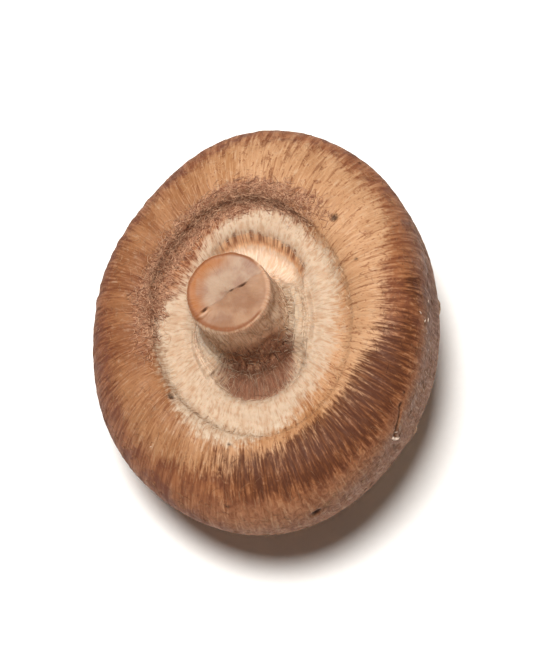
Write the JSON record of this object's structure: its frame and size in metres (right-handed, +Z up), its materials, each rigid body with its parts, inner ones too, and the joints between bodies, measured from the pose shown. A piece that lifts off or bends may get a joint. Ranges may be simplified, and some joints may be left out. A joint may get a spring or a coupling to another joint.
{
  "type": "shiitake mushroom",
  "caption": "fresh shiitake mushroom lying on its brown cap, cut stem up, with a rolled fibrous margin, cream veil and cracked crown",
  "frame": {"origin": "middle of the small flat spot that the cap rests on", "axes": "+Z up; +X to the right and +Y away as seen from the side that shows the pit and the cut stem best"},
  "size_m": [0.0537, 0.0642, 0.0362],
  "materials": {
    "flesh": "matte fibrous skin, golden to dark brown, with cream veil and cut flesh"
  },
  "bodies": {
    "root": {"mushroom": "flesh"}
  },
  "joints": []
}
